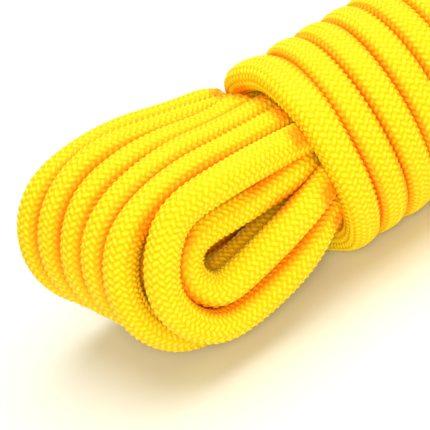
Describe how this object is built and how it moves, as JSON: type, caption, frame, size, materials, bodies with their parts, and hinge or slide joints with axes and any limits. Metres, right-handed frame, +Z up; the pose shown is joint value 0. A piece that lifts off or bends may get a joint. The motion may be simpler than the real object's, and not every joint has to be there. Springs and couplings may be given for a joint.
{
  "type": "dynamic climbing rope",
  "caption": "Hank of yellow braided kernmantle climbing rope: long loops laid side by side, bound round the middle by a tight wrapping of the same rope, with sleeved free ends.",
  "frame": {"origin": "on the surface the hank lies on, under the middle of its overall box", "axes": "+X along the hank from the end where the wrapping starts to the end where both rope ends come out, +Y across the stack of loops from front to back, +Z up"},
  "size_m": [0.3566, 0.0896, 0.0633],
  "materials": {
    "sheath": "braided polyamide yarn, soft sheen",
    "core": "twisted white polyamide strands",
    "end_sleeve": "heat-shrunk sleeve, satin",
    "fused_tip": "melted polyamide, glossy",
    "tape": "thin plain film"
  },
  "bodies": {
    "root": {"near_bights": "sheath", "far_bights": "sheath", "waist_bundle": "sheath", "wrap_coil": "sheath", "start_tail_sheath": "sheath", "start_tail_core": "core", "start_end_sleeve": "end_sleeve", "start_fused_tip": "fused_tip", "working_tail_sheath": "sheath", "working_tail_core": "core", "working_end_sleeve": "end_sleeve", "working_fused_tip": "fused_tip", "marker_tape": "tape"}
  },
  "joints": []
}
